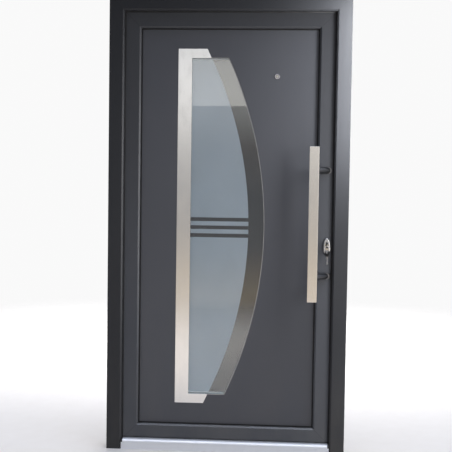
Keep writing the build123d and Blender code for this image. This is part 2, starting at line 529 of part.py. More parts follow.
def cap_shape(cy, cz):
    t = 1.2
    c = cyl("x", (cy - 15.0, cz), 13.0, LOCK_X - 3.4, LOCK_X + 3.4)
    c = c + box(LOCK_X - 3.4, LOCK_X + 3.4, cy - 7.5, cy - 1.5, cz - 7.0, cz + 7.0)
    c = one(c).fillet(1.4, [e for e in one(c).edges() if abs(abs(e.center().X - LOCK_X) - 3.4) < 0.01])
    c = c - (cyl("x", (cy - 15.0, cz), 11.6, LOCK_X - t - 0.05, LOCK_X + t + 0.05) + box(LOCK_X - t - 0.05, LOCK_X + t + 0.05, cy - 8, cy + 1, cz - 5.1, cz + 5.1))
    c = c - cyl("x", (cy - 21.0, cz), 7.2, LOCK_X - 9, LOCK_X + 9)
    # the mouth opens at the outer edge so that the ring can pass
    c = c - box(LOCK_X - 9, LOCK_X + 9, cy - 30, cy - 21.0, cz - 7.2, cz + 7.2)
    return one(c)


KY = CY0 - 3.5
keep("key", key_shape(KY, CYL_Z))
keep("key_cap", cap_shape(KY, CYL_Z))
HY = KY - 21.0                        # the hole that carries the ring
RING_R, RING_r = 13.0, 0.9
RZ = CYL_Z - 3.2 - RING_R             # ring centre: its wire rests in the lower edge of the hole
kr = Solid.make_torus(RING_R, RING_r, Plane(origin=(LOCK_X, HY, RZ), z_dir=(0, 1, 0)))
keep("key_ring", kr)
# spare key: the same key turned blade down, hung by its hole from the ring
SPZ = RZ - RING_R - 1.6               # its hole hangs on the ring's lowest point
SP_TURN = 52.0


def hang(shape):
    s = shape.moved(Location((0, -HY, 0))).moved(Location((-LOCK_X, 0, -CYL_Z)))
    s = s.rotate(Axis.X, -90)         # blade now points down
    s = s.rotate(Axis.Z, SP_TURN)
    return s.moved(Location((LOCK_X, HY, SPZ)))


keep("spare_key", one(hang(key_shape(KY, CYL_Z))))
keep("spare_key_cap", one(hang(cap_shape(KY, CYL_Z))))

# ------------------------------------------------- oval plates and lever
def oval_plate(cz, outside):
    if outside:
        y0, y1 = YL, YL - OV_T
    else:
        y0, y1 = YLB, YLB + OV_T
    s = oval(LOCK_X, cz, OV_A, OV_B, y0, y1)
    s = one(s).fillet(4.2, [e for e in s.edges() if abs(e.center().Y - y1) < 0.01])
    hollow = oval(LOCK_X, cz, OV_A - 2.4, OV_B - 2.6, y0 + (0.5 if outside else -0.5), y1 + (2.6 if outside else -2.6))
    return one(s - hollow)


eo = oval_plate(OV_Z, True)
collar = euro(YL - OV_T + 1.0, YL, 2.4)
eo = one((eo + collar) - euro(-30, 0, 0.25))
keep("escutcheon_outer", eo)
ei = oval_plate(OV_Z, False)
collar = euro(YLB, YLB + OV_T - 1.0, 2.4)
ei = one((ei + collar) - euro(50, 80, 0.25))
keep("escutcheon_inner", ei)
rs = oval_plate(SPIN_Z, False)
rs = rs + (cyl("y", (LOCK_X, SPIN_Z), 12.5, YLB, YLB + OV_T))
rs = one(rs - cyl("y", (LOCK_X, SPIN_Z), 9.4, YLB - 1, YLB + OV_T + 1))
keep("lever_rose", rs)
# lever: neck, bend and flat rounded grip towards the hinge side
LY = 112.0
neck = cyl("y", (LOCK_X, SPIN_Z), 9.0, YLB + 4.0, LY + 2.0)
gpts = [(LOCK_X + 9.0, LY - 9.0), (LOCK_X + 9.0, LY + 3.0), (LOCK_X + 3.0, LY + 9.0), (LOCK_X - 118.0, LY + 9.0), (LOCK_X - 124.0, LY + 5.0),
        (LOCK_X - 126.0, LY - 3.0), (LOCK_X - 122.0, LY - 6.0), (LOCK_X - 30.0, LY - 5.0), (LOCK_X - 9.0, LY - 14.0)]
grip = prism([(x, y, SPIN_Z - 10.5) for x, y in gpts], (0, 0, 21.0))
grip = one(grip).fillet(4.0, [e for e in grip.edges() if e.length > 15 and abs(abs(e.center().Z - SPIN_Z) - 10.5) < 0.01 and e.center().X < LOCK_X - 20])
lv = neck + grip
lv = lv - box(LOCK_X - 4.05, LOCK_X + 4.05, YLB, 100.0, SPIN_Z - 4.05, SPIN_Z + 4.05)
keep("lever", one(lv))
keep("lever_spindle", box(LOCK_X - 4.0, LOCK_X + 4.0, 22.0, 99.5, SPIN_Z - 4.0, SPIN_Z + 4.0))

# ---------------------------------------------------------------- pull bar
bar = box(BAR_X - BAR_W / 2, BAR_X + BAR_W / 2, BAR_Y, BAR_Y + BAR_T, BAR_Z0, BAR_Z1)
bar = one(bar.fillet(1.6, bar.edges().filter_by(Axis.Z)))
bar = one(bar.chamfer(0.7, None, [e for e in bar.edges() if (abs(e.center().Z - BAR_Z0) < .01 or abs(e.center().Z - BAR_Z1) < .01)]))
posts, studs = [], []
yb = BAR_Y + BAR_T
d = POST_X - BAR_X
for z in POST_Z:
    ax = Vector(d, YL - yb, 0)
    ln = ax.length
    e = 30.0
    p0 = Vector(BAR_X, yb, z) - ax.normalized() * e
    c = Solid.make_cylinder(POST_R, ln + 2 * e, Plane(origin=p0, z_dir=ax))
    c = c & box(BAR_X - 60, POST_X + 60, yb, YL, z - 20, z + 20)
    foot = cyl("y", (POST_X, z), POST_R, YL - 12, YL)
    c = c + foot
    c = c - cyl("y", (POST_X, z), 4.05, YL - 13, YL + 1)
    c = c - cyl("y", (BAR_X, z), 3.05, yb - 1, yb + 11)
    posts.append(one(c))
    studs.append(cyl("y", (POST_X, z), 4.0, YL - 12, YL + 24))
    bar = bar - cyl("y", (BAR_X, z), 3.05, yb - 6, yb + 1)
    studs.append(cyl("y", (BAR_X, z), 3.0, yb - 5.8, yb + 10))
keep("pull_bar", one(bar))
keep("pull_posts", group(posts))
keep("pull_studs", group(studs))

# ------------------------------------------------------------- door viewer
vo = cyl("y", (VIEW_X, VIEW_Z), 7.0, PAN_Y0, 36.0) + cyl("y", (VIEW_X, VIEW_Z), 13.0, PAN_Y0 - 3.0, PAN_Y0)
vo = one(vo)
vo = vo.fillet(2.0, [e for e in vo.edges().filter_by(GeomType.CIRCLE) if abs(e.center().Y - (PAN_Y0 - 3)) < .01])
vo = vo - cyl("y", (VIEW_X, VIEW_Z), 6.1, PAN_Y0 - 4.0, 12.0) - cyl("y", (VIEW_X, VIEW_Z), 5.0, 11.0, 37.0)
keep("viewer_outer", one(vo))
ln = cyl("y", (VIEW_X, VIEW_Z), 6.0, PAN_Y0 - 1.6, 11.9)
ln = one(ln).fillet(2.2, [e for e in ln.edges().filter_by(GeomType.CIRCLE) if e.center().Y < PAN_Y0])
keep("viewer_lens", ln)
vi = cyl("y", (VIEW_X, VIEW_Z), 4.9, 14.0, 42.0) + cyl("y", (VIEW_X, VIEW_Z), 13.0, 42.0, 45.0)
vi = vi + cyl("y", (VIEW_X, VIEW_Z + 9.5), 1.5, 44.0, 48.0)
vi = vi - cyl("y", (VIEW_X, VIEW_Z), 3.9, 13.0, 46.0)
keep("viewer_inner", one(vi))
vc = cyl("y", (VIEW_X, VIEW_Z), 7.5, 45.3, 46.9)
vc = vc + cyl("y", (VIEW_X, VIEW_Z + 9.5), 4.0, 45.3, 46.9)
vc = vc + box(VIEW_X - 4.0, VIEW_X + 4.0, 45.3, 46.9, VIEW_Z, VIEW_Z + 9.5)
vc = vc - cyl("y", (VIEW_X, VIEW_Z + 9.5), 1.55, 45, 48)
keep("viewer_cover", one(vc))

for name, shape in PARTS.items():
    export_step(shape, "parts/" + name + ".step")
print(len(PARTS), "parts")
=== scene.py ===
import math

import bpy
from mathutils import Euler, Matrix, Vector


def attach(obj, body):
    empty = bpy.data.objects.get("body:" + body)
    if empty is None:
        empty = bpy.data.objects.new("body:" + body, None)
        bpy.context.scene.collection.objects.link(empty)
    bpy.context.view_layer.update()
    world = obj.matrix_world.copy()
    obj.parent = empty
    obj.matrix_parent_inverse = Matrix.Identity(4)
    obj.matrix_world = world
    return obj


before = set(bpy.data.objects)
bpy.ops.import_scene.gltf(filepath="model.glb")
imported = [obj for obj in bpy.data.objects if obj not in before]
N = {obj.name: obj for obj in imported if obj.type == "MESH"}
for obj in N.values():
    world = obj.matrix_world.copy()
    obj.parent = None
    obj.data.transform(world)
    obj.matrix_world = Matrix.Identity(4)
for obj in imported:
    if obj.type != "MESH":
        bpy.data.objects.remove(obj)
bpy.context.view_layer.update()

scene = bpy.context.scene

# ------------------------------------------------------------------ camera
# The image is 452 x 452.  Position in millimetres, turn in degrees.
CAM_POS = (196.8, -3704.4, 1219.4)
CAM_ROT = (-2.68, -0.836, 3.199)
F_PX = 804.6
SIDE = 452.0

cam_data = bpy.data.cameras.new("camera")
cam = bpy.data.objects.new("camera", cam_data)
scene.collection.objects.link(cam)
scene.camera = cam
turn = Euler([math.radians(a) for a in CAM_ROT], "XYZ").to_matrix()
base = Matrix(((1, 0, 0), (0, 0, -1), (0, 1, 0)))
cam.matrix_world = Matrix.Translation(Vector(CAM_POS) / 1000.0) @ (turn @ base).to_4x4()
cam_data.sensor_fit = "HORIZONTAL"
cam_data.sensor_width = 36.0
cam_data.lens = F_PX / SIDE * 36.0
cam_data.clip_start = 0.05
cam_data.clip_end = 100.0

# ------------------------------------------------------- world and lights
scene.view_settings.view_transform = "Standard"
scene.view_settings.look = "None"
scene.view_settings.exposure = 0.0

world = bpy.data.worlds.new("studio")
scene.world = world
world.use_nodes = True
wt = world.node_tree
wt.nodes.clear()


def w_node(kind, **props):
    x = wt.nodes.new(kind)
    for k, v in props.items():
        setattr(x, k, v)
    return x


def w_ramp(value, lo, hi, stops):
    """colour by a number between lo and hi; stops = (number, colour)"""
    r = w_node("ShaderNodeMapRange")
    r.inputs["From Min"].default_value = lo
    r.inputs["From Max"].default_value = hi
    wt.links.new(value, r.inputs["Value"])
    q = w_node("ShaderNodeValToRGB")
    cr = q.color_ramp
    for i, (at, col) in enumerate(stops):
        p = (at - lo) / (hi - lo)
        el = cr.elements[i] if i < 2 else cr.elements.new(p)
        el.position = p
        el.color = tuple(col) + (1.0,)
    wt.links.new(r.outputs["Result"], q.inputs["Fac"])
    return q.outputs["Color"]


w_dir = w_node("ShaderNodeTexCoord").outputs["Generated"]
w_sep = w_node("ShaderNodeSeparateXYZ")
wt.links.new(w_dir, w_sep.inputs[0])
# what shiny faces see in front: pale low wall, grey band at eye height, bright band above it, dim ceiling
glossy = w_ramp(w_sep.outputs["Z"], -0.4, 1.0, [
    (-0.4, (0.30, 0.26, 0.21)), (1.0, (1.40, 1.60, 2.05)), (-0.19, (0.40, 0.34, 0.27)), (-0.135, (1.10, 0.90, 0.66)),
    (-0.075, (0.48, 0.47, 0.47)), (-0.014, (0.41, 0.42, 0.43)), (0.05, (0.56, 0.53, 0.51)), (0.11, (1.52, 1.50, 1.47)),
    (0.19, (1.10, 1.13, 1.16)), (0.25, (0.10, 0.105, 0.13)), (0.40, (0.030, 0.031, 0.036)),
    (0.62, (0.05, 0.052, 0.06)), (0.80, (1.10, 1.25, 1.60))])
# what lights the matt faces from in front
matt = w_ramp(w_sep.outputs["Z"], -0.5, 0.8, [
    (-0.5, (0.09, 0.085, 0.08)), (0.8, (0.01, 0.01, 0.012)), (0.0, (0.045, 0.047, 0.055)), (0.3, (0.022, 0.024, 0.03))])
back = w_ramp(w_sep.outputs["Z"], -0.5, 0.8, [
    (-0.5, (0.50, 0.48, 0.46)), (0.8, (0.40, 0.41, 0.44)), (0.0, (0.36, 0.36, 0.40)), (0.25, (0.50, 0.48, 0.46))])
# what lies to the sides and overhead: it catches the small slopes round every face
rim = w_ramp(w_sep.outputs["Z"], -1.0, 1.0, [
    (-1.0, (0.15, 0.14, 0.13)), (1.0, (1.50, 1.68, 2.10)), (-0.1, (0.20, 0.20, 0.21)), (0.3, (0.30, 0.32, 0.36)), (0.75, (0.90, 1.00, 1.25))])
w_lp = w_node("ShaderNodeLightPath")


def w_blend(fac, a, b):
    x = w_node("ShaderNodeMix", data_type="RGBA")
    wt.links.new(fac, x.inputs[0])
    wt.links.new(a, x.inputs[6])
    wt.links.new(b, x.inputs[7])
    return x.outputs[2]


w_side = w_node("ShaderNodeMapRange")
w_side.inputs["From Min"].default_value = 0.0
w_side.inputs["From Max"].default_value = 0.4
wt.links.new(w_sep.outputs["Y"], w_side.inputs["Value"])
w_rim = w_node("ShaderNodeMapRange", interpolation_type="SMOOTHSTEP")
w_rim.inputs["From Min"].default_value = -0.62
w_rim.inputs["From Max"].default_value = -0.36
wt.links.new(w_sep.outputs["Y"], w_rim.inputs["Value"])
w_bg = w_node("ShaderNodeBackground")
lean = w_ramp(w_sep.outputs["X"], -1.0, 1.0, [(-1.0, (0.30, 0.30, 0.32)), (1.0, (1.7, 1.68, 1.64)), (-0.25, (0.78, 0.79, 0.82)), (0.1, (1.0, 1.0, 1.0))])
ahead = w_blend(w_rim.outputs["Result"], w_blend(w_lp.outputs["Is Diffuse Ray"], glossy, matt), rim)
w_lean = w_node("ShaderNodeMix", data_type="RGBA", blend_type="MULTIPLY")
w_lean.inputs[0].default_value = 1.0
wt.links.new(ahead, w_lean.inputs[6])
wt.links.new(lean, w_lean.inputs[7])
wt.links.new(w_blend(w_side.outputs["Result"], w_lean.outputs[2], back), w_bg.inputs["Color"])
w_bg.inputs["Strength"].default_value = 1.0
w_cam = w_node("ShaderNodeBackground")
w_cam.inputs["Color"].default_value = (0.95, 0.95, 0.95, 1)
w_mix = w_node("ShaderNodeMixShader")
w_out = w_node("ShaderNodeOutputWorld")
wt.links.new(w_lp.outputs["Is Camera Ray"], w_mix.inputs[0])
wt.links.new(w_bg.outputs[0], w_mix.inputs[1])
wt.links.new(w_cam.outputs[0], w_mix.inputs[2])
wt.links.new(w_mix.outputs[0], w_out.inputs["Surface"])


def softbox(name, centre, aim, sx, sz, power, colour, spread=180.0):
    d = bpy.data.lights.new(name, "AREA")
    d.shape = "RECTANGLE"
    d.size, d.size_y = sx, sz
    d.energy = power
    d.color = colour
    d.spread = math.radians(spread)
    o = bpy.data.objects.new(name, d)
    o.location = centre
    o.rotation_mode = "QUATERNION"
    o.rotation_quaternion = (Vector(aim) - Vector(centre)).to_track_quat("-Z", "Y")
    scene.collection.objects.link(o)
    return o


# a small light in front whose mirror image fills the top of the glass; a key from the right at hip
# height; a strip close to the right jamb; a gridded light for the floor; a fill for the inside
o = softbox("glass_top", (-0.45, -6.0, 2.66), (-0.2, 0, 1.7), 1.7, 0.90, 8.6, (1.0, 0.95, 0.90))
only = bpy.data.collections.new("panes")
only.objects.link(N["glass_outer"])
only.objects.link(N["glass_inner"])
o.light_linking.receiver_collection = only
softbox("key_right", (1.9, -2.7, 1.15), (0.25, 0, 1.0), 1.2, 1.4, 10, (0.95, 0.97, 1.0))
frame_side = bpy.data.collections.new("frame_side")
leaf_side = bpy.data.collections.new("leaf_side")
for k in ("door_frame", "frame_gasket"):
    frame_side.objects.link(N[k])
for k in ("leaf_frame", "panel_outer_skin", "glazing_gasket"):
    leaf_side.objects.link(N[k])
edge = bpy.data.collections.new("edge")
for k in ("door_frame", "frame_gasket", "leaf_frame"):
    edge.objects.link(N[k])
for nm, at, aim, sx, sz, pw, spread, what in (
        ("near_frame", (0.80, -0.32, 1.78), (0.52, 0, 1.66), 0.20, 0.8, 14.0, 92.0, frame_side),
        ("near_leaf", (0.88, -0.40, 1.72), (0.40, 0, 1.50), 0.22, 0.9, 4.4, 120.0, leaf_side),
        ("side_right", (1.35, -1.0, 0.95), (0.5, 0, 0.85), 0.6, 1.3, 12.5, 120.0, edge)):
    o = softbox(nm, at, aim, sx, sz, pw, (0.99, 0.995, 1.0), spread)
    o.visible_camera = False
    o.light_linking.receiver_collection = what
# overhead strip: draws the light line along the leaf's lower inner bevel
o = softbox("overhead", (0.1, -1.95, 3.0), (0, 0, 0.11), 3.2, 0.6, 6.5, (0.72, 0.82, 1.0), 34.0)
o.visible_camera = False
beads = bpy.data.collections.new("beads")
beads.objects.link(N["leaf_frame"])
o.light_linking.receiver_collection = beads
softbox("fill_left", (-2.3, -2.7, 1.5), (-0.2, 0, 1.1), 1.0, 1.4, 2.0, (0.80, 0.88, 1.0))
softbox("over_floor", (0.0, -2.5, 3.3), (0, -2.5, 0), 4.0, 2.6, 33, (1.0, 0.86, 0.69), 80.0)
softbox("over_floor_back", (0.0, 3.2, 3.3), (0, 3.2, 0), 5.0, 4.0, 90, (1.0, 0.96, 0.92), 80.0)
o = softbox("back_fill", (0.5, 4.2, 3.2), (0, 0, 1.1), 4.0, 2.0, 60, (1.0, 0.98, 0.95))
o.visible_transmission = False
o.visible_camera = False


# ----------------------------------------------------------- node helpers
class Mat:
    """a material with short calls for its nodes"""

    def __init__(self, name):
        self.m = bpy.data.materials.new(name)
        self.m.use_nodes = True
        self.t = self.m.node_tree
        self.p = self.t.nodes["Principled BSDF"]
        self.o = self.t.nodes["Material Output"]
        self._pos = None

    def n(self, kind, **props):
        x = self.t.nodes.new(kind)
        for k, v in props.items():
            setattr(x, k, v)
        return x

    def link(self, a, b):
        self.t.links.new(a, b)

    def put(self, sock, v):
        if isinstance(v, (int, float)):
            sock.default_value = v
        elif isinstance(v, tuple):
            sock.default_value = v if len(v) == len(sock.default_value) else v + (1.0,)
        else:
            self.link(v, sock)

    def pos(self):
        if self._pos is None:
            self._pos = self.n("ShaderNodeTexCoord").outputs["Object"]
        return self._pos

    def scaled(self, sx, sy, sz, off=(0, 0, 0)):
        q = self.n("ShaderNodeMapping")
        q.inputs["Scale"].default_value = (sx, sy, sz)
        q.inputs["Location"].default_value = off
        self.link(self.pos(), q.inputs["Vector"])
        return q.outputs[0]

    def noise(self, vec, scale=1.0, detail=3.0, rough=0.5, lac=2.0, dist=0.0):
        x = self.n("ShaderNodeTexNoise")
        x.inputs["Scale"].default_value = scale
        x.inputs["Detail"].default_value = detail
        x.inputs["Roughness"].default_value = rough
        x.inputs["Lacunarity"].default_value = lac
        x.inputs["Distortion"].default_value = dist
        self.link(vec, x.inputs["Vector"])
        return x.outputs["Fac"]

    def math(self, op, a, b=None, c=None, clamp=False):
        x = self.n("ShaderNodeMath", operation=op, use_clamp=clamp)
        self.put(x.inputs[0], a)
        if b is not None:
            self.put(x.inputs[1], b)
        if c is not None:
            self.put(x.inputs[2], c)
        return x.outputs[0]

    def remap(self, v, a, b, c, d, smooth=False):
        x = self.n("ShaderNodeMapRange")
        if smooth:
            x.interpolation_type = "SMOOTHSTEP"
        x.inputs["From Min"].default_value = a
        x.inputs["From Max"].default_value = b
        x.inputs["To Min"].default_value = c
        x.inputs["To Max"].default_value = d
        self.put(x.inputs["Value"], v)
        return x.outputs["Result"]

    def mix(self, fac, a, b):
        x = self.n("ShaderNodeMix", data_type="RGBA")
        self.put(x.inputs[0], fac)
        self.put(x.inputs[6], a)
        self.put(x.inputs[7], b)
        return x.outputs[2]

    def xyz(self):
        s = self.n("ShaderNodeSeparateXYZ")
        self.link(self.pos(), s.inputs[0])
        return s.outputs

    def bump(self, height, strength=0.1, distance=0.001, normal=None):
        b = self.n("ShaderNodeBump")
        b.inputs["Strength"].default_value = strength
        b.inputs["Distance"].default_value = distance
        self.link(height, b.inputs["Height"])
        if normal is not None:
            self.link(normal, b.inputs["Normal"])
        return b.outputs[0]

    def soft_edge(self, radius, samples=6):
        b = self.n("ShaderNodeBevel", samples=samples)
        b.inputs["Radius"].default_value = radius
        return b.outputs[0]

    def set(self, **kw):
        names = {"colour": "Base Color", "rough": "Roughness", "metal": "Metallic", "spec": "Specular IOR Level", "normal": "Normal",
                 "aniso": "Anisotropic", "coat": "Coat Weight", "coat_rough": "Coat Roughness", "ior": "IOR",
                 "trans": "Transmission Weight", "alpha": "Alpha", "sheen": "Sheen Weight", "tangent": "Tangent"}
        for k, v in kw.items():
            self.put(self.p.inputs[names[k]], v)
        return self


# --------------------------------------------------------------- materials
def anthracite(name, weld=None, tone_and_shade=1.0, spec=0.38):
    """laminated profile: satin anthracite with a fine pressed grain, faint dust low down;
    weld = (outer half width, bottom, top, bottom corners too) draws the cleaned weld seams;
    the tone factor scales every colour, and a low tone is painted shade: a darker copy of the same foil"""
    m = Mat(name)
    x, y, z = m.xyz()
    fine = m.noise(m.scaled(900, 900, 900), 1.0, 4.0, 0.6)
    grain = m.noise(m.scaled(520, 520, 26), 1.0, 5.0, 0.62, dist=0.4)
    cloud = m.noise(m.scaled(2.1, 2.1, 1.3), 1.0, 3.0, 0.5)
    smear = m.noise(m.scaled(9, 9, 3.2, (4, 2, 7)), 1.0, 4.0, 0.6)
    dust = m.math("MULTIPLY", m.remap(z, 0.0, 0.55, 1.0, 0.0, True), m.remap(smear, 0.38, 0.7, 0.25, 1.0))
    c = m.mix(m.remap(cloud, 0.3, 0.7, 0.0, 1.0), (0.035 * tone_and_shade, 0.037 * tone_and_shade, 0.043 * tone_and_shade), (0.043 * tone_and_shade, 0.045 * tone_and_shade, 0.051 * tone_and_shade))
    c = m.mix(m.math("MULTIPLY", m.remap(grain, 0.45, 0.62, 0.0, 1.0), 0.35), c, (0.030 * tone_and_shade, 0.031 * tone_and_shade, 0.034 * tone_and_shade))
    c = m.mix(m.math("MULTIPLY", dust, 0.16), c, (0.16, 0.145, 0.125))
    rough = m.math("ADD", m.remap(fine, 0.3, 0.7, 0.36, 0.46), m.math("MULTIPLY", dust, 0.16))
    height = m.math("ADD", m.math("MULTIPLY", fine, 0.35), grain)
    if weld:
        hw, z0, z1, low = weld
        ax = m.math("ABSOLUTE", x)
        u = m.math("SUBTRACT", hw, ax)
        v = m.math("SUBTRACT", z1, z)
        d = m.math("ABSOLUTE", m.math("SUBTRACT", u, v))
        if low:
            w = m.math("SUBTRACT", z, z0)
            d = m.math("MINIMUM", d, m.math("ABSOLUTE", m.math("SUBTRACT", u, w)))
        line = m.remap(d, 0.0004, 0.0013, 1.0, 0.0, True)
        halo = m.remap(d, 0.0, 0.006, 1.0, 0.0, True)
        c = m.mix(m.math("MULTIPLY", line, 0.8), c, (0.012, 0.012, 0.013))
        rough = m.math("ADD", rough, m.math("MULTIPLY", halo, 0.10))
        height = m.math("SUBTRACT", height, m.math("MULTIPLY", line, 2.5))
    nrm = m.bump(height, 0.16, 0.00025, m.soft_edge(0.0012))
    m.set(colour=c, rough=rough, normal=nrm, spec=spec)
    return m.m


def panel_skin(name):
    m = Mat(name)
    x, y, z = m.xyz()
    fine = m.noise(m.scaled(1300, 1300, 1300), 1.0, 3.0, 0.6)
    cloud = m.noise(m.scaled(1.7, 1.7, 1.1, (3, 1, 5)), 1.0, 3.0, 0.5)
    wipe = m.noise(m.scaled(6.5, 6.5, 1.7, (9, 2, 1)), 1.0, 4.0, 0.6, dist=0.5)
    dust = m.math("MULTIPLY", m.remap(z, 0.1, 0.75, 1.0, 0.0, True), m.remap(wipe, 0.4, 0.7, 0.2, 1.0))
    c = m.mix(m.remap(cloud, 0.3, 0.7, 0.0, 1.0), (0.074, 0.0775, 0.090), (0.087, 0.0905, 0.103))
    c = m.mix(m.math("MULTIPLY", dust, 0.12), c, (0.17, 0.15, 0.13))
    rough = m.math("ADD", m.remap(wipe, 0.35, 0.7, 0.40, 0.47), m.math("MULTIPLY", m.remap(fine, 0.3, 0.7, 0.0, 1.0), 0.05))
    nrm = m.bump(fine, 0.12, 0.0002)
    m.set(colour=c, rough=rough, normal=nrm, spec=0.36)
    return m.m


def rubber(name):
    m = Mat(name)
    fine = m.noise(m.scaled(700, 700, 700), 1.0, 3.0, 0.6)
    cloud = m.noise(m.scaled(30, 30, 12), 1.0, 3.0, 0.5)
    c = m.mix(m.remap(cloud, 0.35, 0.7, 0.0, 1.0), (0.008, 0.008, 0.009), (0.018, 0.018, 0.019))
    m.set(colour=c, rough=m.remap(fine, 0.3, 0.7, 0.55, 0.75), normal=m.bump(fine, 0.2, 0.0003), spec=0.35)
    return m.m


def moulded(name, base=(0.014, 0.014, 0.015)):
    m = Mat(name)
    fine = m.noise(m.scaled(1500, 1500, 1500), 1.0, 2.0, 0.5)
    cloud = m.noise(m.scaled(40, 40, 40), 1.0, 3.0, 0.5)
    c = m.mix(m.remap(cloud, 0.35, 0.7, 0.0, 1.0), base, tuple(v * 1.6 for v in base))
    m.set(colour=c, rough=m.remap(fine, 0.3, 0.7, 0.38, 0.55), normal=m.bump(fine, 0.15, 0.0002, m.soft_edge(0.0004)), spec=0.45)
    return m.m


def brushed(name, base, axis, rough=(0.22, 0.34), strength=0.25, edge=0.0006, spots=0.0):
    """brushed metal, with the brush lines along axis x, y or z"""
    m = Mat(name)
    k = {"x": (14, 1500, 1500), "y": (1500, 14, 1500), "z": (1500, 1500, 14)}[axis]
    k2 = {"x": (3, 260, 260), "y": (260, 3, 260), "z": (260, 260, 3)}[axis]
    lines = m.noise(m.scaled(*k), 1.0, 4.0, 0.7)
    wide = m.noise(m.scaled(*k2), 1.0, 3.0, 0.6)
    smear = m.noise(m.scaled(22, 22, 11, (1, 5, 2)), 1.0, 4.0, 0.6)
    dark = tuple(v * 0.95 for v in base)
    c = m.mix(m.remap(lines, 0.3, 0.72, 0.0, 1.0), dark, base)
    c = m.mix(m.math("MULTIPLY", m.remap(smear, 0.5, 0.75, 0.0, 1.0), 0.10 + spots), c, tuple(v * 0.74 for v in base))
    r = m.math("ADD", m.remap(lines, 0.3, 0.7, rough[0], rough[1]), m.math("MULTIPLY", m.remap(smear, 0.45, 0.75, 0.0, 1.0), 0.05))
    h = m.math("ADD", lines, m.math("MULTIPLY", wide, 0.12))
    m.set(colour=c, metal=1.0, rough=r, normal=m.bump(h, strength, 0.00006, m.soft_edge(edge)))
    return m.m


def polished(name, base, rough=(0.06, 0.14), edge=0.0005):
    m = Mat(name)
    smear = m.noise(m.scaled(60, 60, 40), 1.0, 4.0, 0.6)
    scratch = m.noise(m.scaled(900, 900, 140), 1.0, 4.0, 0.7)
    c = m.mix(m.remap(smear, 0.4, 0.7, 0.0, 1.0), base, tuple(v * 0.86 for v in base))
    r = m.math("ADD", m.remap(smear, 0.35, 0.7, rough[0], rough[1]), m.math("MULTIPLY", m.remap(scratch, 0.6, 0.75, 0.0, 1.0), 0.10))
    m.set(colour=c, metal=1.0, rough=r, normal=m.bump(scratch, 0.10, 0.00004, m.soft_edge(edge)))
    return m.m


def galvanised(name):
    m = Mat(name)
    v = m.n("ShaderNodeTexVoronoi")
    v.inputs["Scale"].default_value = 1.0
    m.link(m.scaled(120, 120, 120), v.inputs["Vector"])
    fine = m.noise(m.scaled(400, 400, 400), 1.0, 3.0, 0.6)
    s = m.n("ShaderNodeSeparateColor")
    m.link(v.outputs["Color"], s.inputs[0])
    c = m.mix(s.outputs[0], (0.42, 0.44, 0.46), (0.62, 0.64, 0.66))
    m.set(colour=c, metal=1.0, rough=m.remap(s.outputs[1], 0.0, 1.0, 0.32, 0.5), normal=m.bump(fine, 0.12, 0.0001))
    return m.m


def foam(name):
    m = Mat(name)
    cells = m.noise(m.scaled(900, 900, 900), 1.0, 4.0, 0.7)
    c = m.mix(cells, (0.62, 0.68, 0.74), (0.78, 0.82, 0.86))
    m.set(colour=c, rough=0.9, normal=m.bump(cells, 0.5, 0.0004), spec=0.2)
    return m.m


def pane(name, tint, rough=0.0):
    """flat glass: refracts and mirrors, and lets light through to what lies behind"""
    m = Mat(name)
    dirt = m.noise(m.scaled(7, 7, 4, (2, 8, 3)), 1.0, 4.0, 0.6)
    c = m.mix(m.remap(dirt, 0.45, 0.75, 0.0, 1.0), tint, tuple(v * 0.96 for v in tint))
    m.set(colour=c, rough=rough, trans=1.0, ior=1.5)
    tr = m.n("ShaderNodeBsdfTransparent")
    tr.inputs["Color"].default_value = tuple(tint) + (1.0,)
    lp = m.n("ShaderNodeLightPath")
    mx = m.n("ShaderNodeMixShader")
    m.link(lp.outputs["Is Shadow Ray"], mx.inputs[0])
    m.link(m.p.outputs[0], mx.inputs[1])
    m.link(tr.outputs[0], mx.inputs[2])
    m.link(mx.outputs[0], m.o.inputs["Surface"])
    return m.m


def frost(name):
    m = Mat(name)
    x, y, z = m.xyz()
    fine = m.noise(m.scaled(1800, 1800, 1800), 1.0, 3.0, 0.6)
    cloud = m.noise(m.scaled(5, 5, 3), 1.0, 3.0, 0.5)
    c = m.mix(m.remap(cloud, 0.3, 0.7, 0.0, 1.0), (0.380, 0.425, 0.490), (0.420, 0.465, 0.535))
    m.set(colour=c, rough=m.remap(fine, 0.3, 0.7, 0.55, 0.75), normal=m.bump(fine, 0.2, 0.0001), spec=0.3)
    return m.m


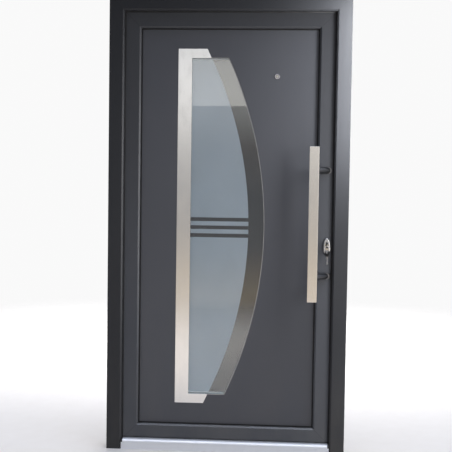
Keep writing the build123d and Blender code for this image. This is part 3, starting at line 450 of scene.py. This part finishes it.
MATS = {
    # frame: the leaf's foil with a much lower tone, painted shade on the head and jambs; its weaker spec dims its sheen
    # too
    "frame_foil_painted_shade": anthracite("frame_foil_painted_shade", weld=(0.550, 0.0, 2.090, False), tone_and_shade=0.56, spec=0.22),
    "leaf_foil": anthracite("leaf_foil", weld=(0.5155, 0.0075, 2.0555, True), tone_and_shade=0.95, spec=0.32),
    "bead_foil": anthracite("bead_foil", tone_and_shade=0.95),
    "panel_foil": panel_skin("panel_foil"),
    "rubber": rubber("rubber"),
    "plastic": moulded("plastic"),
    "plastic_grey": moulded("plastic_grey", (0.03, 0.03, 0.032)),
    "foam": foam("foam"),
    "galvanised": galvanised("galvanised"),
    "aluminium_x": brushed("aluminium_x", (0.86, 0.88, 0.91), "x", (0.46, 0.56), 0.15),
    "aluminium_z": brushed("aluminium_z", (0.72, 0.73, 0.74), "z", (0.28, 0.42), 0.2, 0.0003),
    "aluminium_dull": brushed("aluminium_dull", (0.50, 0.50, 0.50), "z", (0.34, 0.46), 0.15, 0.0002),
    "bar_steel": brushed("bar_steel", (0.80, 0.77, 0.725), "z", (0.17, 0.22), 0.10, 0.0008),
    "trim_steel": brushed("trim_steel", (0.80, 0.79, 0.77), "z", (0.15, 0.20), 0.10, 0.0003),
    "hinge_steel": brushed("hinge_steel", (0.66, 0.65, 0.63), "z", (0.26, 0.4), 0.2, 0.0006),
    "lever_steel": brushed("lever_steel", (0.68, 0.66, 0.63), "x", (0.24, 0.36), 0.2, 0.0008),
    "lock_steel": brushed("lock_steel", (0.58, 0.58, 0.57), "z", (0.3, 0.44), 0.15, 0.0003),
    "chrome": polished("chrome", (0.83, 0.83, 0.83)),
    # viewer ring: chrome with a dark base colour, painted shade for the dark surroundings it mirrors
    "chrome_painted_shade": polished("chrome_painted_shade", (0.34, 0.33, 0.35), (0.10, 0.18)),
    # stand-offs: steel with a near-black base colour, painted shade for the dark surroundings they mirror
    "post_steel_painted_shade": brushed("post_steel_painted_shade", (0.17, 0.17, 0.175), "y", (0.30, 0.40), 0.10, 0.0006),
    # glazing spacer: near-white, blue-tinted base, a painted highlight for sky light on a strip that lies in shade
    "spacer_painted_highlight": brushed("spacer_painted_highlight", (0.92, 0.96, 1.0), "z", (0.36, 0.48), 0.08, 0.0003),
    # spare key: the key's nickel made much lighter, a painted highlight on its blade
    "nickel_painted_highlight": polished("nickel_painted_highlight", (0.95, 0.93, 0.90), (0.34, 0.44), 0.0003),
    "nickel": polished("nickel", (0.70, 0.66, 0.58), (0.16, 0.28), 0.0003),
    "glass": pane("glass", (0.93, 0.96, 0.95)),
    # inner pane: a near-black tint, painted shade standing for the dark room behind the door
    "glass_painted_shade": pane("glass_painted_shade", (0.085, 0.085, 0.088)),
    "frost": frost("frost"),
}
# part diffuse, so the painted highlight on the spacer shows even in shade
MATS["spacer_painted_highlight"].node_tree.nodes["Principled BSDF"].inputs["Metallic"].default_value = 0.35
FINISH = {
    "door_frame": "frame_foil_painted_shade", "frame_steels": "galvanised", "frame_gasket": "rubber", "threshold_outer": "aluminium_x",
    "threshold_core": "plastic_grey", "threshold_inner": "aluminium_x", "connector_left": "plastic", "connector_right": "plastic",
    "frame_hole_caps": "plastic_grey", "strike_main": "lock_steel", "strike_bolts": "lock_steel", "hinge_frame_parts": "hinge_steel",
    "hinge_pins": "chrome", "frame_screws": "lock_steel", "leaf_frame": "leaf_foil", "leaf_steels": "galvanised",
    "leaf_gasket": "rubber", "panel_outer_skin": "panel_foil", "panel_core": "foam", "panel_inner_skin": "panel_foil",
    "glazing_gasket": "rubber", "bead_left": "bead_foil", "bead_right": "bead_foil", "bead_top": "bead_foil", "bead_bottom": "bead_foil",
    "setting_blocks": "plastic_grey", "glass_outer": "glass", "glass_inner": "glass_painted_shade", "glass_spacer": "spacer_painted_highlight",
    "glass_edging": "aluminium_dull", "stainless_trim": "trim_steel", "lock_faceplate": "lock_steel", "lock_case": "galvanised",
    "lock_case_upper": "galvanised", "lock_case_lower": "galvanised", "cylinder_body": "nickel", "escutcheon_outer": "chrome",
    "escutcheon_inner": "lever_steel", "lever_rose": "lever_steel", "pull_bar": "bar_steel", "pull_posts": "post_steel_painted_shade",
    "pull_studs": "lock_steel", "viewer_outer": "chrome_painted_shade", "viewer_inner": "chrome", "viewer_lens": "glass",
    "hinge_leaf_parts": "hinge_steel", "leaf_screws": "lock_steel", "lever": "lever_steel", "lever_spindle": "lock_steel",
    "latch_bolt": "chrome", "latch_hold_slide": "plastic", "deadbolt": "lock_steel", "side_bolts": "lock_steel",
    "cylinder_plug": "nickel", "key": "nickel", "key_cap": "plastic", "key_ring": "chrome", "spare_key": "nickel_painted_highlight",
    "spare_key_cap": "plastic", "viewer_cover": "chrome",
}
for node, which in FINISH.items():
    ob = N[node]
    ob.data.materials.clear()
    ob.data.materials.append(MATS[which])

# ------------------------------------------------------------ frosted field
# Etched face on the outside of the inner pane: from the straight side to an
# arc, with three clear stripes.  Millimetres in the door's own frame.
GZ0, GZ1 = 258.0, 1814.0
FY0, FY1 = 33.72, 33.92
FX0 = -175.4
ARC = ((-83.0, 1814.0), (94.5, 1036.0), (-83.0, 258.0))


def circle3(a, b, c):
    ax, ay = a
    bx, by = b
    cx, cy = c
    d = 2 * (ax * (by - cy) + bx * (cy - ay) + cx * (ay - by))
    ux = ((ax * ax + ay * ay) * (by - cy) + (bx * bx + by * by) * (cy - ay) + (cx * cx + cy * cy) * (ay - by)) / d
    uy = ((ax * ax + ay * ay) * (cx - bx) + (bx * bx + by * by) * (ax - cx) + (cx * cx + cy * cy) * (bx - ax)) / d
    return ux, uy, math.hypot(ax - ux, ay - uy)


FCX, FCZ, FR = circle3(*ARC)


def frost_x(z):
    return FCX + math.sqrt(FR * FR - (z - FCZ) ** 2)


def plate(name, outline, y0, y1):
    """closed thin plate from an outline of (x, z) points"""
    n = len(outline)
    vs = [(x / 1000, y0 / 1000, z / 1000) for x, z in outline] + [(x / 1000, y1 / 1000, z / 1000) for x, z in outline]
    fs = [list(range(n)), list(range(2 * n - 1, n - 1, -1))]
    for i in range(n):
        j = (i + 1) % n
        fs.append([j, i, n + i, n + j])
    me = bpy.data.meshes.new(name)
    me.from_pydata(vs, [], fs)
    me.validate()
    me.update()
    ob = bpy.data.objects.new(name, me)
    scene.collection.objects.link(ob)
    return ob


def frost_band(name, z0, z1):
    k = max(2, int((z1 - z0) / 12))
    pts = [(FX0, z0)]
    pts += [(frost_x(z0 + (z1 - z0) * i / k), z0 + (z1 - z0) * i / k) for i in range(k + 1)]
    pts.append((FX0, z1))
    ob = plate(name, pts, FY0, FY1)
    ob.data.materials.append(MATS["frost"])
    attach(ob, "leaf")
    return ob


STRIPES = ((990.5, 1008.5), (1028.5, 1045.5), (1065.5, 1083.0))
cuts = [GZ0 + 6.3] + [v for s in STRIPES for v in s] + [GZ1 - 3.5]
for i in range(0, len(cuts), 2):
    frost_band("frost_field_%d" % (i // 2 + 1), cuts[i], cuts[i + 1])

# ------------------------------------------------------------------- floor
FLOOR_R = 5.5
ring_n, ring_m = 96, 24
fv = [(0.0, 0.0, -0.0002)]
for i in range(1, ring_m + 1):
    for j in range(ring_n):
        t = 2 * math.pi * j / ring_n
        fv.append((FLOOR_R * i / ring_m * math.cos(t), FLOOR_R * i / ring_m * math.sin(t), -0.0002))
ff = [(0, 1 + j, 1 + (j + 1) % ring_n) for j in range(ring_n)]
for i in range(ring_m - 1):
    for j in range(ring_n):
        p, q = 1 + i * ring_n + j, 1 + i * ring_n + (j + 1) % ring_n
        ff.append((p, p + ring_n, q + ring_n, q))
me = bpy.data.meshes.new("floor")
me.from_pydata(fv, [], ff)
me.update()
floor = bpy.data.objects.new("floor", me)
scene.collection.objects.link(floor)
fm = Mat("floor")
fn = fm.noise(fm.scaled(14, 14, 14), 1.0, 3.0, 0.5)
fm.set(colour=fm.mix(fn, (0.80, 0.775, 0.74), (0.84, 0.82, 0.79)), rough=0.85, spec=0.2)
fl = fm.n("ShaderNodeVectorMath", operation="LENGTH")
fm.link(fm.pos(), fl.inputs[0])
ftr = fm.n("ShaderNodeBsdfTransparent")
fmx = fm.n("ShaderNodeMixShader")
fm.link(fm.remap(fl.outputs["Value"], 2.6, FLOOR_R - 0.1, 0.0, 1.0, True), fmx.inputs[0])
fm.link(fm.p.outputs[0], fmx.inputs[1])
fm.link(ftr.outputs[0], fmx.inputs[2])
fm.link(fmx.outputs[0], fm.o.inputs["Surface"])
floor.data.materials.append(fm.m)
